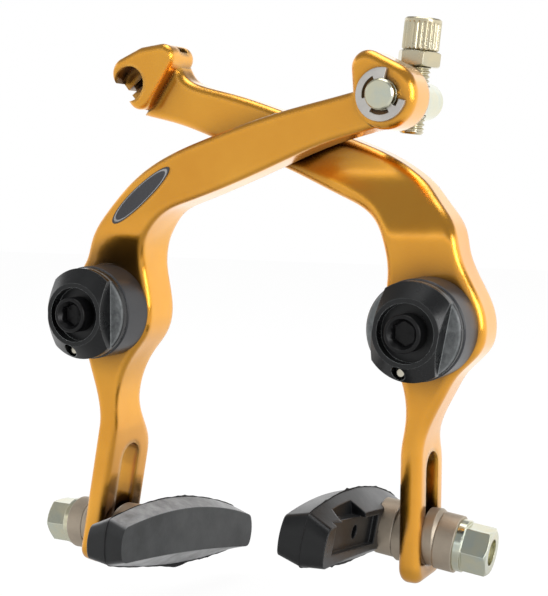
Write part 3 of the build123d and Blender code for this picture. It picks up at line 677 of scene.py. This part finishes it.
def padOutline(facts):
    # The outline of a pad: an arc over, an arc under and a bulged arc at each end, taken as parabolas,
    # with each corner cut by a quadratic curve whose middle point is the corner.
    half = facts["length"] / 2
    s = np.linspace(-1, 1, facts["arcPoints"])
    arch = 1 - s ** 2
    over = np.stack([facts["offset"] + half * s, facts["endHigh"] + (facts["high"] - facts["endHigh"]) * arch], -1)
    under = np.stack([facts["offset"] + half * s, facts["endLow"] + (facts["low"] - facts["endLow"]) * arch], -1)
    middle, tall = (facts["endHigh"] + facts["endLow"]) / 2, (facts["endHigh"] - facts["endLow"]) / 2
    e = np.linspace(-1, 1, facts["endPoints"])
    swell = half + facts["bulge"] * (1 - e ** 2)
    right = np.stack([facts["offset"] + swell, middle - tall * e], -1)
    left = np.stack([facts["offset"] - swell, middle + tall * e], -1)
    lines = (over, right, under[::-1], left)
    kept = [cutEnds(line, facts["corner"]) for line in lines]
    t = np.linspace(0, 1, facts["cornerPoints"])[1:-1, None]
    loop = []
    for line, before, after in zip(lines, kept, kept[1:] + kept[:1]):
        loop += [before, (1 - t) ** 2 * before[-1] + 2 * t * (1 - t) * line[-1] + t ** 2 * after[0]]
    return np.vstack(loop)


def flashMesh(side, facts, shape):
    # A thin ridge round the pad where its mould parted: a flattened ring carried round the outline,
    # standing proud by an uneven height, a sum of sines of the way round with seeded phases.
    loop = padOutline(facts)
    ahead = np.roll(loop, -1, 0) - np.roll(loop, 1, 0)
    ahead /= np.linalg.norm(ahead, axis=1)[:, None]
    outward = np.stack([-ahead[:, 1], ahead[:, 0]], -1)
    way = np.cumsum(np.linalg.norm(np.roll(loop, -1, 0) - loop, axis=1))
    way = way / way[-1] * 2 * np.pi
    random = np.random.default_rng(shape["seed"] + side)
    wave = np.zeros(len(way))
    for turns in shape["turns"]:
        wave += np.sin(turns * way + random.uniform(0, 2 * np.pi)) / len(shape["turns"])
    torn = np.clip(wave * shape["tear"] - shape["tearFrom"], 0, 1) * random.uniform(0, 1, len(way))
    sway = np.clip(wave * shape["sway"], shape["swayLow"], shape["swayHigh"])
    stand = shape["stand"] + shape["uneven"] * sway + shape["ragged"] * torn
    stand += shape["flap"][side] * np.exp(-((way - shape["flapAt"]) / shape["flapWide"]) ** 2)
    around = fullCircle(shape["columns"])
    reach = np.cos(around) * stand[:, None]
    flat = loop[:, None, :] + outward[:, None, :] * reach[..., None]
    wander = shape["wander"] * np.sin(shape["wanderTurns"] * way)[:, None]
    depth = facts["split"] + np.sin(around) * shape["thick"] + wander
    origin, along, up, rim = padPlace(side, facts)
    points = np.concatenate([flat, depth[..., None]], -1)
    points = points @ np.array([along, up, rim]) + np.array(origin)
    return gridMesh(dict(sides)[side] + "padFlash", points * mm, closedRows=True)


for side, word in sides:
    addPiece(word + "padFlash", flashMesh(side, pad, flash), "flash", word + "shoe")
print("barrel, bolts and pad flash made")

# Floor and light
studio = {
    "floor": -0.078, "floorSize": 3.0, "paper": 0.9, "paperRough": 0.9, "floorSeen": 0.92, "floorGlow": 1.03,
    "floorNear": 0.15, "nearReach": 0.03, "farReach": 0.16, "floorRoom": 0.3,
    "lamps": (
        ("key", (-0.32, -0.42, 0.62), (0.3, 0.5), 3.2, False),
        ("fill", (0.75, -0.3, 0.22), (0.2, 0.5), 2.8, True),
        ("top", (0.05, 0.12, 0.8), (0.5, 0.5), 2.6, True),
    ),
    "world": 0.45, "front": 0.86, "back": 1.3, "frontAt": -0.25, "backAt": 0.35,
    "overhead": 0.4, "overheadFrom": 0.38, "overheadTo": 0.5,
    "strip": 1.5, "stripAt": 0.34, "stripCore": 0.03, "stripEdge": 0.07,
}


def addFloor(facts):
    # White paper under the brake. The camera sees it glow, so that it meets the white background,
    # and metal sees a plain room that darkens near the brake.
    half = facts["floorSize"] / 2
    mesh = bpy.data.meshes.new("floor")
    corners = [(x * half, y * half, facts["floor"]) for x, y in ((-1, -1), (1, -1), (1, 1), (-1, 1))]
    mesh.from_pydata(corners, [], [(0, 1, 2, 3)])
    floor = bpy.data.objects.new("floor", mesh)
    bpy.context.scene.collection.objects.link(floor)
    material, w, shader = newMaterial("floorPaper")
    shader["Base Color"].default_value = (facts["paper"],) * 3 + (1,)
    shader["Roughness"].default_value = facts["paperRough"]
    glow = w.add("ShaderNodeEmission")
    glow.inputs["Strength"].default_value = facts["floorGlow"]
    away = w.add("ShaderNodeVectorMath", operation="LENGTH")
    w.join(w.objectPoint(), away.inputs[0])
    shade = w.ramp(away.outputs["Value"], facts["nearReach"], facts["farReach"], facts["floorNear"], 1.0)
    depth = w.parts(w.objectPoint())[1]
    room = w.ramp(depth, -facts["floorRoom"], facts["floorRoom"], facts["front"], facts["back"])
    mirrored = w.add("ShaderNodeEmission")
    w.join(w.math("MULTIPLY", shade, room), mirrored.inputs["Strength"])
    rays = w.add("ShaderNodeLightPath").outputs
    paper = w.tree.nodes["Principled BSDF"].outputs[0]
    inMetal = w.mixShader(rays["Is Glossy Ray"], paper, mirrored.outputs[0])
    seen = w.mixShader(w.math("MULTIPLY", rays["Is Camera Ray"], facts["floorSeen"]), inMetal, glow.outputs[0])
    w.join(seen, w.tree.nodes["Material Output"].inputs[0])
    mesh.materials.append(material)


def addLamps(facts):
    # Each lamp: name, place, size, power in watts, and whether metal mirrors it. All face the origin.
    for name, place, size, watts, mirrored in facts["lamps"]:
        data = bpy.data.lights.new(name, "AREA")
        data.shape = "RECTANGLE"
        data.size, data.size_y = size
        data.energy = watts
        lamp = bpy.data.objects.new(name, data)
        lamp.visible_glossy = mirrored
        facing = (-Vector(place)).to_track_quat("-Z", "Y").to_matrix().to_4x4()
        lamp.matrix_world = Matrix.Translation(place) @ facing
        bpy.context.scene.collection.objects.link(lamp)


def addWorld(facts):
    # White to the camera. Metal is shown a bright wall behind, a duller room in front,
    # a dim ceiling and one bright strip below the ceiling.
    world = bpy.data.worlds.new("world")
    world.use_nodes = True
    bpy.context.scene.world = world
    w = Wires(world.node_tree)
    way = w.parts(w.add("ShaderNodeTexCoord").outputs["Generated"])
    room = w.ramp(way[1], facts["frontAt"], facts["backAt"], facts["front"], facts["back"])
    up = w.ramp(way[2], facts["overheadFrom"], facts["overheadTo"])
    lower = w.math("MULTIPLY", room, w.math("SUBTRACT", 1.0, up))
    ceiling = w.math("ADD", lower, w.math("MULTIPLY", up, facts["overhead"]))
    off = w.math("ABSOLUTE", w.math("SUBTRACT", way[2], facts["stripAt"]))
    strip = w.ramp(off, facts["stripCore"], facts["stripEdge"], facts["strip"], 0.0)
    shown, plain, white = (w.add("ShaderNodeBackground") for each in range(3))
    for light in (shown, plain, white):
        light.inputs["Color"].default_value = (1, 1, 1, 1)
    w.join(w.math("MAXIMUM", ceiling, strip), shown.inputs["Strength"])
    plain.inputs["Strength"].default_value = facts["world"]
    rays = w.add("ShaderNodeLightPath").outputs
    glossy = w.math("MAXIMUM", rays["Is Glossy Ray"], rays["Is Transmission Ray"])
    metal = w.mixShader(glossy, plain.outputs[0], shown.outputs[0])
    seen = w.mixShader(rays["Is Camera Ray"], metal, white.outputs[0])
    w.join(seen, w.add("ShaderNodeOutputWorld").inputs[0])


addFloor(studio)
addLamps(studio)
addWorld(studio)
bpy.context.scene.view_settings.view_transform = "Standard"
print("floor, lamps and world set")
